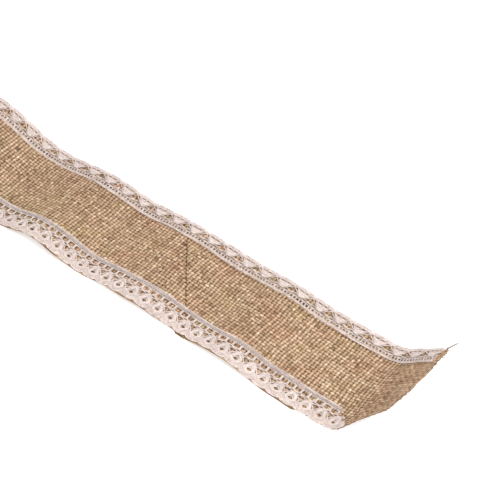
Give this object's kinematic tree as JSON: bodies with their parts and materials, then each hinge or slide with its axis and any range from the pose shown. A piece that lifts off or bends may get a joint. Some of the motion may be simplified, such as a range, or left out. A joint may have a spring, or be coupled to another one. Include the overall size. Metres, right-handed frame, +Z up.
{
  "type": "table runner",
  "caption": "Narrow burlap table runner with a cotton lace trim along each long edge, lying in loose waves with one raw cut end curled up.",
  "frame": {"origin": "centre of the runner's bounding box, on the table that it lies on", "axes": "+X along the runner towards its curled raw end, +Y across it towards the narrow lace, +Z up from the table"},
  "size_m": [0.9, 0.1186, 0.0425],
  "materials": {
    "burlap": "natural jute plain weave, matt and hairy",
    "lace": "off-white cotton lace with a faint pink cast, matt",
    "sewing_thread": "spun off-white sewing thread",
    "seam_thread": "brown spun sewing thread",
    "lace_cord": "twisted cotton cord end, greyish",
    "loose_yarn": "single jute yarn, matt and hairy"
  },
  "bodies": {
    "root": {"burlap_long_length": "burlap", "burlap_short_length": "burlap", "wide_lace_trim": "lace", "narrow_lace_trim": "lace", "wide_lace_heading_stitches": "sewing_thread", "wide_lace_edge_stitches": "sewing_thread", "narrow_lace_heading_stitches": "sewing_thread", "narrow_lace_edge_stitches": "sewing_thread", "bias_seam_stitches": "seam_thread", "narrow_lace_cord_tail": "lace_cord", "loose_burlap_yarn": "loose_yarn"}
  },
  "joints": []
}
